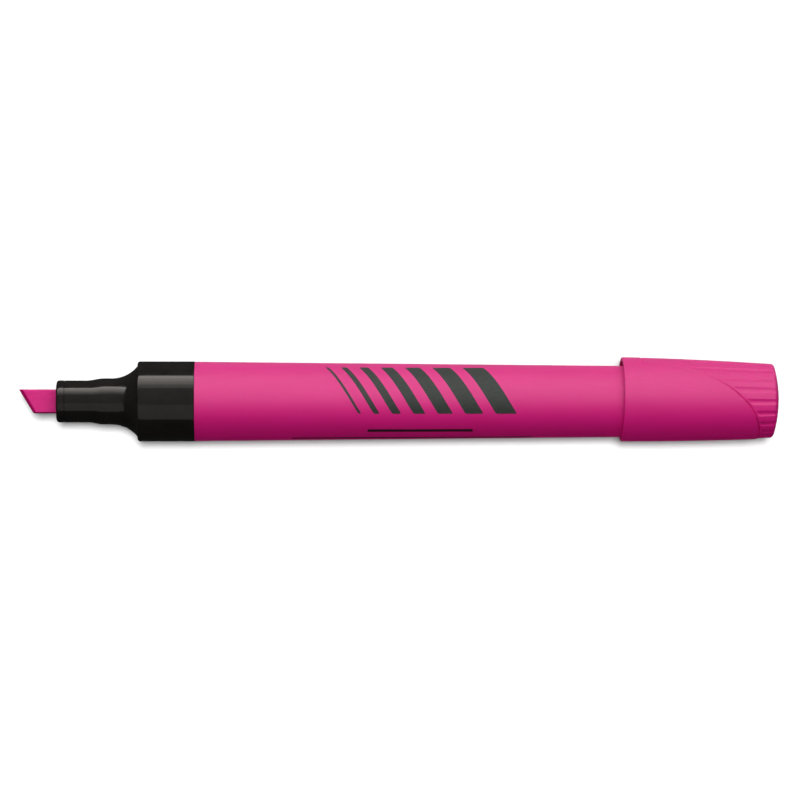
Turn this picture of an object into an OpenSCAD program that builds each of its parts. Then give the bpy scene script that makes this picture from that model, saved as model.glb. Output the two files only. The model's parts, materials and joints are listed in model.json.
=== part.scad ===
// Chisel-tip highlighter lying on its side with its cap posted on the tail.
// Frame: +X runs along the pen from the nib to the cap, +Z is up, Z = 0 is the table, and the
// origin is under the middle of the pen's own axis. All sizes are in millimetres, and
// "station" means the distance along the pen from the point of the nib.

/* [Pen] */
// Overall length with the cap posted
pen_length = 151.75; // [148:0.05:155]
// Radius of the barrel at its mouth
barrel_mouth_r = 7.93; // [7.9:0.01:7.98]
// Radius of the barrel at its closed tail
barrel_tail_r = 7.08; // [7.0:0.01:7.1]
// Thickness of the barrel wall
barrel_wall = 1.1; // [0.9:0.1:1.2]

/* [Nib] */
// Width of the nib across its broad face
nib_width = 4.8; // [4.4:0.1:4.9]
// Thickness of the nib
nib_thickness = 2.8; // [2.4:0.1:3.0]
// How much further the long corner of the chisel reaches than the short one
nib_slant = 2.9; // [1.5:0.1:3.5]
// How far the bevels on the writing edge run back from it
nib_bevel_run = 0.7; // [0.3:0.05:0.8]
// How deep those bevels cut into each broad face
nib_bevel_drop = 0.8; // [0.4:0.1:1.0]
// Radius of the long edges of the nib
nib_edge_r = 0.35; // [0.2:0.05:0.5]

/* [Nose] */
// Length of nib that shows in front of the nose
nib_reach = 7.5; // [6.5:0.05:8]
// Radius of the slim front of the neck
neck_r = 4.19; // [4.0:0.01:4.25]
// Radius of the neck where the cap seals on it
seal_r = 4.6; // [4.5:0.01:4.7]
// Radius of the collar
collar_r = 7.98; // [7.95:0.01:8.05]
// Length of the collar
collar_length = 11.35; // [10:0.05:12]

/* [Cap] */
// Length of the cap without the dome on its end
cap_length = 30.3; // [29:0.05:31]
// Height of the domed end
cap_dome = 1.1; // [0.4:0.05:1.2]
// Radius of the cap at its rim
cap_rim_r = 8.43; // [8.4:0.01:8.6]
// Radius of the cap's smooth skin carried on to where its dome starts
cap_end_r = 7.6; // [7.5:0.01:7.8]
// Radius of the rounded edge between the side and the dome
cap_edge_r = 0.25; // [0.15:0.05:0.6]
// Radius of the bore at the rim
cap_bore_r = 7.64; // [7.6:0.01:7.66]
// Number of flutes round the cap
flute_count = 20; // [16:2:22]
// Radius of the round bottom of a flute
flute_r = 1.1; // [0.9:0.1:1.2]
// How far the flutes are turned round the cap from its top, in degrees
flute_turn = 2.2; // [0:0.2:9]

/* [Posting] */
// How far the posted cap sits to one side at its rim, taking up the play on the tail
cap_shift = 0.44; // [0:0.01:0.45]
// How far the posted cap leans back towards the pen's axis, in degrees
cap_lean = 0.6; // [0:0.1:0.6]
// How much of the tail is inside the cap
posted_depth = 5; // [3:0.1:5]

/* [Hidden] */
$fn = 96;

overlap = 0.5;           // extra length of a cutter past the face that it cuts
arc_steps = 6;           // straight steps in a small rounded corner
far = 20;                // a size larger than any section of the pen
pen_axis_z = cap_rim_r;  // the widest part, the rim of the cap, rests on the table

// Stations of the nose.
slim_length = 5.95;
rise_length = 3.5;
seal_length = 1.5;
flare_length = 5.2;
nose_front = nib_reach;
neck_end = nose_front + slim_length;       // the slim front of the neck ends
seal_start = neck_end + rise_length;       // the sealing band starts
flare_start = seal_start + seal_length;    // the flare up to the collar starts
flare_r = 6.6;                    // radius of the hollow curve of the flare
shoulder = flare_start + flare_length;
collar_end = shoulder + collar_length;
skirt_length = 9;                 // the skirt that is pressed into the barrel
skirt_end = collar_end + skirt_length;
nose_edge_r = 0.55;               // rounding of the front edge
collar_edge_r = 0.45;             // rounding of the collar's front edge
skirt_r = 7.0;
skirt_bore_r = 5.95;
collar_bore_r = 6.6;              // hollow under the collar, which keeps its wall even
nib_tube_r = 4.2;                 // the tube inside the collar that guides the nib
nib_tube_end = collar_end + 1.8;
nib_chamber_r = 3.0;
front_slot_length = 2.6;
grip_rib_width = 0.8;
web_width = 0.9;
vent_r = 0.4;

// Stations of the tail and the posted cap.
cap_rim = pen_length - cap_length - cap_dome;
tail_end = cap_rim + posted_depth;
tail_wall = 1.2;
tail_edge_r = 0.7;
tail_rib_width = 0.8;
tail_rib_inner_r = 2.2;
tail_air = 3.4;                   // air space behind the reservoir

// Stations of the ink system.
reservoir_start = nib_tube_end + 0.2;
reservoir_end = tail_end - tail_wall - tail_air;
reservoir_length = reservoir_end - reservoir_start;
reservoir_r = 5.56;
wrap_r = 5.7;
wrap_clearance = 0.02;
nib_plunge = 8;                   // how far the back of the nib is pushed into the reservoir
nib_end = reservoir_start + nib_plunge;

// The inside of the cap, measured from its rim.
liner_mouth = posted_depth + 0.2;
liner_flange = 0.8;
liner_gap = 0.03;                 // running clearance between the liner and the shell
ledge = liner_mouth + liner_flange + liner_gap;
liner_bore_r = 4.54;
liner_wall = 0.65;
liner_length = 20.2;
ledge_bore_r = 7.1;
shell_end_bore_r = 6.15;
shell_end_wall = 1.1;

dome_flat_r = 1.2;                // radius of the flat at the centre of the dome

// Straight steps in the curves of the cap.
skin_steps = 8;
edge_steps = 2;
dome_steps = 3;
tongue_steps = 18;

// The fluted part of the cap lies outside an ellipse drawn on the side of the cap.
tongue_start = 3.7;               // where the ellipse's centre lies, from the rim
tongue_length = 23.5;             // half-length of the ellipse
tongue_centre_y = -7.5;
tongue_height = 14.7;             // half-height of the ellipse
flute_margin = 0.5;               // how far the flutes end outside that ellipse
land_step = 0.04;                 // how far the lands lie under the smooth skin at their start
land_sink = 0.16;                 // how much further they sink by the end of the cap
land_root = 1;                    // where the fluted body starts, hidden inside the tongue
recess_bow = 1.5;                 // power of the curve by which the lands sink
cap_bow = 1.7;                    // power of the curve that the smooth skin follows
flute_floor_start = 8.405;        // radius of a flute's floor where the fluting starts
flute_floor_end = 7.25;           // and at the dome

function arc(centre, r, from, to, steps = arc_steps) =
    [for (i = [0:steps])
        let (a = from + (to - from) * i / steps)
        centre + r * [cos(a), sin(a)]];

// Radius of the barrel's skin at a station.
function barrel_r(station) =
    barrel_mouth_r
    + (barrel_tail_r - barrel_mouth_r) * (station - collar_end) / (tail_end - collar_end);

// Radius of the cap's smooth skin at a distance from its rim.
function cap_skin_r(x) =
    cap_rim_r - (cap_rim_r - cap_end_r) * pow(x / cap_length, cap_bow);

// Distance from the rim of the dome at a radius outside the flat at its centre.
function dome_x(r) =
    cap_length + cap_dome * (1 - pow((r - dome_flat_r) / (cap_end_r - dome_flat_r), 2));

// How far the lands lie under the smooth skin at a distance from the rim.
function land_depth(x) =
    land_step
    + land_sink * pow(max(0, x - tongue_start) / (cap_length - tongue_start), recess_bow);

// Turns a solid made along Z, with Z as its station, into the frame of the pen.
module on_pen() {
    translate([-pen_length / 2, 0, pen_axis_z]) rotate([0, 90, 0]) children();
}

// Puts a solid made along X from the rim of the cap where the posted cap is.
module on_posted_cap() {
    translate([cap_rim - pen_length / 2, cap_shift, pen_axis_z])
        rotate([0, 0, -cap_lean])
            children();
}

// A solid of revolution about the X axis from points [radius, x].
module turned_along_x(points) {
    rotate([0, 90, 0]) rotate_extrude() polygon(points);
}

// Copies a solid at even angles round the Z axis.
module around_z(count, first = 0) {
    for (i = [0:count - 1]) rotate([0, 0, first + i * 360 / count]) children();
}

// A block centred on the Z axis between two stations.
module block(size_x, size_y, from, to) {
    translate([-size_x / 2, -size_y / 2, from]) cube([size_x, size_y, to - from]);
}

// The long bar that the nib is cut from. Its thickness is across X and its width along Y.
module nib_bar(from, to) {
    half_t = nib_thickness / 2 - nib_edge_r;
    half_w = nib_width / 2 - nib_edge_r;
    translate([0, 0, from])
        linear_extrude(to - from)
            polygon(concat(
                arc([half_t, half_w], nib_edge_r, 0, 90),
                arc([-half_t, half_w], nib_edge_r, 90, 180),
                arc([-half_t, -half_w], nib_edge_r, 180, 270),
                arc([half_t, -half_w], nib_edge_r, 270, 360)));
}

// The wedge that shapes the writing edge: it is slanted across the width, and both broad
// faces are bevelled down to the edge.
module chisel_wedge() {
    slant_angle = atan(nib_slant / nib_width);
    half_t = nib_thickness / 2;
    translate([0, nib_width / 2, 0])
        rotate([-slant_angle, 0, 0])
            rotate([90, 0, 0])
                translate([0, 0, -far])
                    linear_extrude(2 * far)
                        polygon([[-half_t + nib_bevel_drop, 0], [half_t - nib_bevel_drop, 0],
                                 [half_t, nib_bevel_run], [far, nib_bevel_run + far],
                                 [far, 4 * far], [-far, 4 * far],
                                 [-far, nib_bevel_run + far], [-half_t, nib_bevel_run]]);
}

module nib() {
    color([0.92, 0.20, 0.52])
        on_pen()
            intersection() {
                nib_bar(-overlap, nib_end);
                chisel_wedge();
            }
}

// Outline of the neck, flare, collar and skirt.
function nose_outline() = concat(
    [[0, nose_front], [neck_r - nose_edge_r, nose_front]],
    arc([neck_r - nose_edge_r, nose_front + nose_edge_r], nose_edge_r, -90, 0),
    [for (i = [0:8])
        let (t = i / 8)
        [neck_r + (seal_r - neck_r) * t * t * (3 - 2 * t), neck_end + (seal_start - neck_end) * t]],
    [for (i = [0:12])
        let (x = flare_length * i / 12)
        [seal_r + flare_r - sqrt(flare_r * flare_r - x * x), flare_start + x]],
    arc([collar_r - collar_edge_r, shoulder + collar_edge_r], collar_edge_r, -90, 0),
    [[collar_r, collar_end], [skirt_r, collar_end], [skirt_r, skirt_end - 0.5],
     [skirt_r - 0.3, skirt_end], [0, skirt_end]]);

// The hollow between the collar and the tube that guides the nib.
module collar_hollow() {
    core_front = flare_start + 4.6;
    rotate_extrude()
        polygon([[nib_tube_r, core_front], [nib_tube_r + 0.7, core_front],
                 [collar_bore_r, core_front + 2.4], [collar_bore_r, collar_end - 1],
                 [skirt_bore_r, collar_end - 0.3], [skirt_bore_r, skirt_end + overlap],
                 [0, skirt_end + overlap], [0, nib_tube_end], [nib_tube_r, nib_tube_end]]);
}

// Four webs that join the collar to the tube inside it.
module collar_webs() {
    difference() {
        for (turn = [0, 90])
            rotate([0, 0, turn])
                block(2 * collar_bore_r + 1, web_width, shoulder + 0.3, nib_tube_end - 0.6);
        translate([0, 0, shoulder - far / 2]) cylinder(r = nib_tube_r - 0.5, h = 2 * far);
    }
}

// Ribs that grip the four sides of the nib and leave air channels between them.
module grip_ribs() {
    difference() {
        for (turn = [0, 90])
            rotate([0, 0, turn])
                block(2 * nib_chamber_r + 0.4, grip_rib_width, nose_front + 4.5, nib_tube_end);
        nib_bar(nose_front, nib_end);
    }
}

module nose_section() {
    color([0.12, 0.12, 0.12])
        on_pen()
            union() {
                difference() {
                    rotate_extrude() polygon(nose_outline());
                    collar_hollow();
                    translate([0, 0, nose_front + front_slot_length])
                        cylinder(r = nib_chamber_r, h = skirt_end);
                    nib_bar(nose_front - overlap, nose_front + front_slot_length + overlap);
                    for (side = [-1, 1])
                        translate([side * nib_thickness / 2, 0, nose_front - overlap])
                            cylinder(r = vent_r, h = front_slot_length + 2 * overlap);
                }
                collar_webs();
                grip_ribs();
            }
}

module barrel() {
    color([0.89, 0.26, 0.54])
        on_pen()
            union() {
                difference() {
                    rotate_extrude()
                        polygon(concat(
                            [[0, collar_end], [barrel_mouth_r, collar_end]],
                            arc([barrel_tail_r - tail_edge_r, tail_end - tail_edge_r],
                                tail_edge_r, 0, 90),
                            [[0, tail_end]]));
                    rotate_extrude()
                        polygon([[0, collar_end - overlap], [skirt_r, collar_end - overlap],
                                 [skirt_r, skirt_end],
                                 [barrel_r(skirt_end) - barrel_wall, skirt_end + 0.4],
                                 [barrel_r(tail_end) - barrel_wall, tail_end - tail_wall],
                                 [0, tail_end - tail_wall]]);
                }
                tail_ribs();
            }
}

// Four ribs in the closed end of the barrel that stop the reservoir and leave an air space.
module tail_ribs() {
    rib_length = barrel_tail_r - tail_rib_inner_r - barrel_wall / 2;
    around_z(4)
        translate([tail_rib_inner_r, -tail_rib_width / 2, reservoir_end + 0.1])
            cube([rib_length, tail_rib_width, tail_end - tail_wall / 2 - reservoir_end - 0.1]);
}

module ink_reservoir() {
    color([0.95, 0.35, 0.62])
        on_pen()
            difference() {
                translate([0, 0, reservoir_start]) cylinder(r = reservoir_r, h = reservoir_length);
                nib_bar(reservoir_start - overlap, nib_end);
            }
}

module reservoir_wrap() {
    color([0.85, 0.85, 0.88])
        on_pen()
            translate([0, 0, reservoir_start])
                difference() {
                    cylinder(r = wrap_r, h = reservoir_length);
                    translate([0, 0, -overlap])
                        cylinder(r = reservoir_r + wrap_clearance,
                                 h = reservoir_length + 2 * overlap);
                }
}

// The side of the cap as points [radius, x], from x = from to the start of the rounded edge.
// The lands lie under the smooth skin, so they have an outline of their own.
function cap_side(from, lands) =
    [for (i = [0:skin_steps])
        let (x = from + (cap_length - cap_edge_r - from) * i / skin_steps)
        [cap_skin_r(x) - (lands ? land_depth(x) : 0), x]];

// A whole outline: the side, the rounded edge and the dome down to the axis.
function cap_outline(from, lands) =
    let (side = cap_side(from, lands), edge = side[skin_steps] - [cap_edge_r, 0])
    concat(
        [[0, from]],
        side,
        arc(edge, cap_edge_r, 20, 80, edge_steps),
        [for (i = [1:dome_steps])
            let (r = edge[0] + (dome_flat_r - edge[0]) * i / dome_steps)
            [r, dome_x(r)]],
        [[0, cap_length + cap_dome]]);

// The smooth tongue: a prism across the cap, which can be drawn larger by a margin.
module tongue_prism(margin = 0) {
    translate([0, 0, -far])
        linear_extrude(2 * far)
            polygon(concat(
                [[-overlap, -far], [tongue_start + tongue_length + margin, -far],
                 [tongue_start + tongue_length + margin, tongue_centre_y]],
                [for (i = [0:tongue_steps])
                    let (a = 90 * i / tongue_steps)
                    [tongue_start + (tongue_length + margin) * cos(a),
                     tongue_centre_y + (tongue_height + margin) * sin(a)]],
                [[tongue_start, far], [-overlap, far]]));
}

// One flute cutter per groove, with its floor falling towards the end of the cap.
module flute_cutters() {
    run = cap_length - tongue_start;
    fall = atan((flute_floor_start - flute_floor_end) / run);
    for (i = [0:flute_count - 1])
        rotate([flute_turn + i * 360 / flute_count, 0, 0])
            translate([tongue_start, 0, flute_floor_start + flute_r / cos(fall)])
                rotate([0, 90 + fall, 0])
                    translate([0, 0, -overlap]) cylinder(r = flute_r, h = run + far / 4);
}

module cap_shell() {
    color([0.89, 0.24, 0.53])
        on_posted_cap()
            difference() {
                union() {
                    intersection() {
                        turned_along_x(cap_outline(0, false));
                        tongue_prism();
                    }
                    difference() {
                        turned_along_x(cap_outline(land_root, true));
                        difference() {
                            flute_cutters();
                            tongue_prism(flute_margin);
                        }
                    }
                }
                turned_along_x([[0, -overlap], [cap_bore_r, -overlap], [cap_bore_r, ledge],
                                [ledge_bore_r, ledge],
                                [shell_end_bore_r, cap_length - shell_end_wall],
                                [0, cap_length - shell_end_wall]]);
            }
}

module cap_liner() {
    color([0.94, 0.94, 0.92])
        on_posted_cap()
            turned_along_x([[liner_bore_r + 0.35, liner_mouth],
                            [cap_bore_r - liner_gap, liner_mouth],
                            [cap_bore_r - liner_gap, liner_mouth + liner_flange],
                            [liner_bore_r + liner_wall, liner_mouth + liner_flange],
                            [liner_bore_r + liner_wall, liner_mouth + liner_length - 1],
                            [liner_bore_r, liner_mouth + liner_length],
                            [0, liner_mouth + liner_length],
                            [0, liner_mouth + liner_length - liner_wall],
                            [liner_bore_r - 0.4, liner_mouth + liner_length - liner_wall],
                            [liner_bore_r, liner_mouth + liner_length - liner_wall - 0.6],
                            [liner_bore_r, liner_mouth + 0.6]]);
}

barrel();
nose_section();
nib();
ink_reservoir();
reservoir_wrap();
cap_shell();
cap_liner();
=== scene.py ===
import json
import math
from collections import namedtuple

import bmesh
import bpy
from mathutils import Matrix, Vector, noise


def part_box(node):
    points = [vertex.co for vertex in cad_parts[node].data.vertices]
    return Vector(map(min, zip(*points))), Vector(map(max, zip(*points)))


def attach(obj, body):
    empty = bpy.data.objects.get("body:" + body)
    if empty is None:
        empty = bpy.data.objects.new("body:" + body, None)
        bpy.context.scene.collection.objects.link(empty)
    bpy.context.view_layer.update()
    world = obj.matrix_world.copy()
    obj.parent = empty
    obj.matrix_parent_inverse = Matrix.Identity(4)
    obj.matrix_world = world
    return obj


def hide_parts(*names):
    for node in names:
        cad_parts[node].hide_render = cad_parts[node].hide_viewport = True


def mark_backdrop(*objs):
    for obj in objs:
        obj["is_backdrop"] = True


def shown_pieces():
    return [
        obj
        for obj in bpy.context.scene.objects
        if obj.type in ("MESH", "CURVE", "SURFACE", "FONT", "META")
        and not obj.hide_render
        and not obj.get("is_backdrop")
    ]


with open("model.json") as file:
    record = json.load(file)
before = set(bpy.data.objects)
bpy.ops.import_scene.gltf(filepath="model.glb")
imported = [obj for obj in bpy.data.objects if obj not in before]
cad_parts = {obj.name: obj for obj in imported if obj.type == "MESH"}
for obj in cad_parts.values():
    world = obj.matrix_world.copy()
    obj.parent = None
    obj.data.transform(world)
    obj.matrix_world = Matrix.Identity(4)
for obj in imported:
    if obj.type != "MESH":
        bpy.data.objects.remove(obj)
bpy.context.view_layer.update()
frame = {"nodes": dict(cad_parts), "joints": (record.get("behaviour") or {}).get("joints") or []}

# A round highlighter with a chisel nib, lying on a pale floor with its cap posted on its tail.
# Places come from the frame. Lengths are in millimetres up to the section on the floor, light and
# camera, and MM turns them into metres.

MM = 0.001
UP = Vector((0, 0, 1))

# ---------------------------------------------------------------- the frame

nose_low, nose_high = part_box("nose_section")
nib_low, nib_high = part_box("nib")
barrel_low, barrel_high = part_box("barrel")
liner_low, liner_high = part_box("cap_liner")
shell_low, shell_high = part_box("cap_shell")
twist = next(joint for joint in frame["joints"] if joint["name"] == "cap_twist")

# The pen lies along X. Stations are places along it, in the frame.
AXIS = Vector((0, (nose_low.y + nose_high.y) / 2, (nose_low.z + nose_high.z) / 2))
NOSE_FRONT = nose_low.x / MM
SKIRT_END = nose_high.x / MM
COLLAR_END = barrel_low.x / MM
TAIL_END = barrel_high.x / MM
COLLAR_R = (nose_high.z - nose_low.z) / 2 / MM
MOUTH_R = (barrel_high.z - barrel_low.z) / 2 / MM
NIB_POINT = nib_low.x / MM
NIB_END = nib_high.x / MM
NIB_WIDTH = (nib_high.y - nib_low.y) / MM
NIB_THICKNESS = (nib_high.z - nib_low.z) / MM

# The posted cap leans a little, so it has axes of its own.
RIM = Vector(twist["pos_m"])
CAP_X = Vector(twist["axis"]).normalized()
CAP_Y = UP.cross(CAP_X)
CAP_RIM_R = (shell_high.z - shell_low.z) / 2 / MM
LINER_MOUTH = (liner_low.x - RIM.x) / MM
LINER_FLANGE_R = (liner_high.z - liner_low.z) / 2 / MM

# ---------------------------------------------------------------- sizes of the details

# A name that ends in R is a radius, one in EDGE or CORNER is a rounding's radius or run, and one
# in BOW is the power of a curve.

# Barrel: a tapered tube whose closed tail is a little dished, with a gate mark in its middle.
BARREL_WALL, TAIL_WALL = 1.1, 1.2
TAIL_R, TAIL_EDGE = 7.08, 0.7
DISH_R, DISH_DEPTH, DISH_SLOPE = 4.6, 0.25, 0.35
GATE_R, GATE_SLOPE, GATE_RISE = 0.6, 0.1, 0.15

# The nose's skirt and the barrel's mouth meet at SKIRT_R, and both keep the gap clear of it.
SKIRT_R, SKIRT_GAP, MOUTH_EDGE = 7.0, 0.01, 0.09

# Nose: a neck, a rise to the sealing band, the band, a flare along an arc, and the collar.
NECK_LENGTH, RISE_LENGTH, SEAL_LENGTH, FLARE_LENGTH = 5.95, 3.5, 1.5, 5.2
NECK_R, SEAL_R, FLARE_ARC_R = 4.19, 4.6, 6.6
COLLAR_EDGE, NOSE_EDGE = 0.45, 0.55

# A ring stands out at the neck's front, with a groove behind it.
RING_LENGTH, RING_RAISED, RING_CORNER = 1.5, 0.02, 0.01
GROOVE_DEPTH, GROOVE_SLOPE, GROOVE_WIDTH = 0.10, 0.05, 0.22

# The skirt's bore stops just in front of the barrel and slopes in to the chamber of the neck.
SKIRT_BORE_R, SKIRT_BORE_STOP = 5.95, 0.3
CHAMBER_R, CHAMBER_SLOPE = 3.0, 0.6

# The nib's slot runs from the chamber to the front face, with a vent in each long side, and keeps
# a margin inside the chamber's radius. Its rings are (depth behind the front face, widening), with
# a small lead-in at the face.
SLOT_LENGTH, SLOT_GAP, SLOT_CORNER_R, VENT_R = 2.6, 0.03, 0.35, 0.4
SLOT_MARGIN = 0.02
SLOT_RINGS = ((SLOT_LENGTH, 0), (1.2, 0), (0.12, 0), (0.04, 0.03), (0.0, 0.11))
# A ring of points on the flat front face, between the slot and the face's rounded edge.
FACE_R = 3.45

# Nib: a flat bar with a slanted end that is bevelled to a writing edge. The slant fades out along
# the bar, so that its other end is square.
NIB_SLANT, SLANT_FADE = 2.9, 9.0
BEVEL_RUN, BEVEL_DROP = 0.7, 0.8
BEVEL_SOFT, BEVEL_SOFT_RUN = 0.06, 0.16
NIB_CORNER_R, NIB_GAP, NIB_END_EDGE = 0.35, 0.01, 0.15
WRITING_EDGE, WRITING_CROWN, CROWN_SIDE_SHARE = 0.1, 0.16, 0.6
NIB_CORNER_SHARE = 0.8
FIBRE_DEPTH, FIBRE_SINK = 0.010, 0.002
# Where the painted shade on the felt fades: behind the bevel's run, and in from the bar's lower
# side. It darkens the bevel and the rounded lower edge, where shade falls.
BEVEL_PAINTED_SHADE = (0.02, 0.14)
SIDE_PAINTED_SHADE = (0.22, 0.34)

# Cap: its skin narrows along a curve from its rim, and its end is a shallow dome with a gate mark.
CAP_LENGTH, CAP_DOME, CAP_END_R, CAP_BOW = 30.3, 1.095, 7.6, 1.7
CAP_EDGE, RIM_EDGE, RIM_BAND = 0.25, 0.16, 0.6
DOME_FLAT_R, DOME_INSET = 1.2, 0.04
# The gate mark is a nub in a dimple. Depths are below the dome's top.
DIMPLE_R, DIMPLE_FLOOR_R, DIMPLE_DEPTH = 1.05, 0.95, 0.12
NUB_R, NUB_TOP_R, NUB_DEPTH = 0.4, 0.33, 0.03
# The cap's bore steps in at a ledge and then narrows to its closed end.
BORE_R, LEDGE, LEDGE_R = 7.64, 6.03, 7.1
INNER_END_R, END_WALL = 6.15, 1.1

# The cap's smooth tongue ends along part of an ellipse. Where a column of points crosses its edge
# is found from a guess in some passes. STRETCH_LIMIT is the most that a step across its edge is
# stretched along the cap.
TONGUE_START, TONGUE_LENGTH = 3.7, 23.5
TONGUE_CENTRE_Y, TONGUE_HEIGHT = -7.5, 14.7
TONGUE_GUESS, TONGUE_PASSES = 15.0, 16
STRETCH_LIMIT = 5

# A fine line is sunk round the tongue: its depth under the lands, and the distances across the
# tongue's edge at which it is deepest and at which it has come up to the lands.
LINE_DEPTH, LINE_BOTTOM, LINE_TOP, LINE_CORNER = 0.20, 0.10, 0.36, 0.03

# Lands between the flutes lie a little under the skin, and sink further towards the cap's end.
LAND_STEP, LAND_SINK, LAND_BOW = 0.04, 0.16, 1.5

# Each flute is as if cut by a round bar that leans in towards the cap's end. The radii of its floor
# are given at the tongue's start and at the cap's end. It begins past the sunk line, and columns
# of points run straight in front of FLUTE_FRONT.
FLUTES, FLUTE_R, FLUTE_TURN = 20, 1.1, math.radians(2.2)
FLUTE_FLOOR_START_R, FLUTE_FLOOR_END_R = 8.405, 7.25
FLUTE_MARGIN, FLUTE_RUN_IN, FLUTE_SOFT = 0.5, 0.14, 0.05
FLUTE_LEAST_ANGLE, FLUTE_FRONT = math.radians(1.6), TONGUE_START + 0.5

# Liner: a soft sleeve with a flange and a lip at its mouth.
LINER_BORE_R, LINER_WALL, LINER_LENGTH = 4.54, 0.65, 20.2
LINER_FLANGE, LINER_LIP, LINER_LEAD, LINER_GAP = 0.8, 0.35, 0.6, 0.03
LINER_FLOOR_STEP, LINER_FLOOR_RUN, LINER_TAPER = 0.4, 0.6, 1.0

# Print: patches of ink on the barrel, sunk into its skin. Places round it are measured from its
# top towards +Y.
PRINT_THICKNESS, PRINT_SUNK, PRINT_CORNER = 0.012, 0.03, 0.3
PRINT_ROWS, PRINT_COLUMN = 24, 0.9
# Slanted strokes, parallel to the nib's edge, whose widths along the pen rise by even steps.
STROKES, STROKE_STEP, STROKE_GAP = 7, 0.6, 2.45
STROKES_START, STROKES_AROUND, STROKES_HEIGHT = -11.6, 2.9, 10.8
STROKE_LEAN = -NIB_SLANT / NIB_WIDTH
# Plain rules under them: (middle along the pen, length, middle round it, width).
PRINT_RULES = ((4.0, 21.0, -6.6, 0.75), (2.5, 48.0, -9.6, 0.6))


def on_pen(x, y, z):
    """A point in millimetres along and across the pen's axis, in the frame."""
    return AXIS + Vector((x, y, z)) * MM


def on_cap(x, y, z):
    """A point in millimetres from the middle of the cap's rim, in the frame."""
    return RIM + (CAP_X * x + CAP_Y * y + UP * z) * MM


# ---------------------------------------------------------------- mesh helpers

def finish_mesh(name, points, faces, crease=40):
    """Makes a smooth-shaded object that faces outwards and turns sharp above an angle."""
    mesh = bpy.data.meshes.new(name)
    mesh.from_pydata(points, [], faces)
    mesh.validate()
    made = bmesh.new()
    made.from_mesh(mesh)
    bmesh.ops.recalc_face_normals(made, faces=made.faces)
    made.to_mesh(mesh)
    made.free()
    mesh.shade_smooth()
    mesh.set_sharp_from_angle(angle=math.radians(crease))
    piece = bpy.data.objects.new(name, mesh)
    bpy.context.scene.collection.objects.link(piece)
    return piece


def skin(rings, first_pole=None, last_pole=None, loop=False):
    """Points and faces of a surface through rings that all have the same number of points.

    A pole closes an end, and a loop joins the last ring to the first."""
    count = len(rings[0])
    points = [p for ring in rings for p in ring]
    faces = []
    for i in range(len(rings) if loop else len(rings) - 1):
        a, b = i * count, (i + 1) % len(rings) * count
        for j in range(count):
            k = (j + 1) % count
            faces.append((a + j, b + j, b + k, a + k))
    if first_pole is not None:
        points.append(first_pole)
        faces += [(len(points) - 1, j, (j + 1) % count) for j in range(count)]
    if last_pole is not None:
        points.append(last_pole)
        last = (len(rings) - 1) * count
        faces += [(last + (j + 1) % count, last + j, len(points) - 1) for j in range(count)]
    return points, faces


def arc(centre, start, end, turns):
    """Points of an arc about a centre, between two arms of the same length."""
    sweep = start.angle(end)
    points = []
    for k in range(turns + 1):
        t = k / turns
        arm = start * math.sin((1 - t) * sweep) + end * math.sin(t * sweep)
        points.append(centre + arm / math.sin(sweep))
    return points


def rounded(corners, step=1.5, turns=5):
    """A profile of (x, r) points from corners (x, r, fillet), with straight runs split up."""
    path = []
    for i, (x, r, fillet) in enumerate(corners):
        corner = Vector((x, r))
        if fillet == 0 or i in (0, len(corners) - 1):
            path.append(corner)
            continue
        back = (Vector(corners[i - 1][:2]) - corner).normalized()
        on = (Vector(corners[i + 1][:2]) - corner).normalized()
        half = back.angle(on) / 2
        reach = fillet / math.tan(half)
        centre = corner + (back + on).normalized() * (fillet / math.sin(half))
        path += arc(centre, corner + back * reach - centre, corner + on * reach - centre, turns)
    full = [path[0]]
    for a, b in zip(path, path[1:]):
        pieces = max(1, math.ceil((b - a).length / step))
        full += [a.lerp(b, k / pieces) for k in range(1, pieces + 1)]
    return [(p.x, p.y) for p in full]


def round_angles(count):
    """Angles spread evenly round a full turn."""
    return [2 * math.pi * j / count for j in range(count)]


def round_ring(place, x, r, angles):
    """A ring about an axis, whose place function gives points in the frame."""
    return [place(x, r * math.cos(a), r * math.sin(a)) for a in angles]


def turned(name, profile, place, segments):
    """Turns a profile of (x, r) points, whose ends lie on the axis, about that axis."""
    angles = round_angles(segments)
    poles = [place(x, 0, 0) for x, r in (profile[0], profile[-1])]
    rings = [round_ring(place, x, r, angles) for x, r in profile[1:-1]]
    points, faces = skin(rings, *poles)
    return finish_mesh(name, points, faces)


def smooth_step(t):
    """Rises from 0 to 1 with level ends as t goes from 0 to 1."""
    t = min(1, max(0, t))
    return t * t * (3 - 2 * t)


# ---------------------------------------------------------------- materials

# The colour sockets of a Mix node.
MIX_A, MIX_B, MIX_RESULT = 6, 7, 2

# Colours, in linear light.
PINK, PINK_DEEP, PINK_EDGE = (0.650, 0.0012, 0.190), (0.610, 0.0012, 0.176), (0.70, 0.012, 0.235)
BLACK, BLACK_SOFT = (0.0190, 0.0178, 0.0168), (0.0240, 0.0224, 0.0210)
BLACK_WORN = (0.03, 0.028, 0.027)
FELT, FELT_STREAK, FELT_POOL = (0.66, 0.008, 0.20), (0.58, 0.004, 0.17), (0.52, 0.003, 0.15)
# The next two colours are painted shade: the first is for the nib's bevel, and the second is for its
# lower side.
FELT_PAINTED_SHADE, FELT_PAINTED_SIDE_SHADE = (0.44, 0.002, 0.115), (0.20, 0.003, 0.06)
PRINT_GREY, PRINT_BLACK = (0.034, 0.040, 0.035), (0.012, 0.008, 0.010)
NATURAL, NATURAL_CLOUD = (0.74, 0.72, 0.67), (0.66, 0.64, 0.60)
FIBRE, FIBRE_STREAK = (0.75, 0.06, 0.32), (0.55, 0.02, 0.2)
FILM, FILM_WRINKLE = (0.80, 0.80, 0.83), (0.72, 0.70, 0.74)
WHITE = (1, 1, 1, 1)


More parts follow.
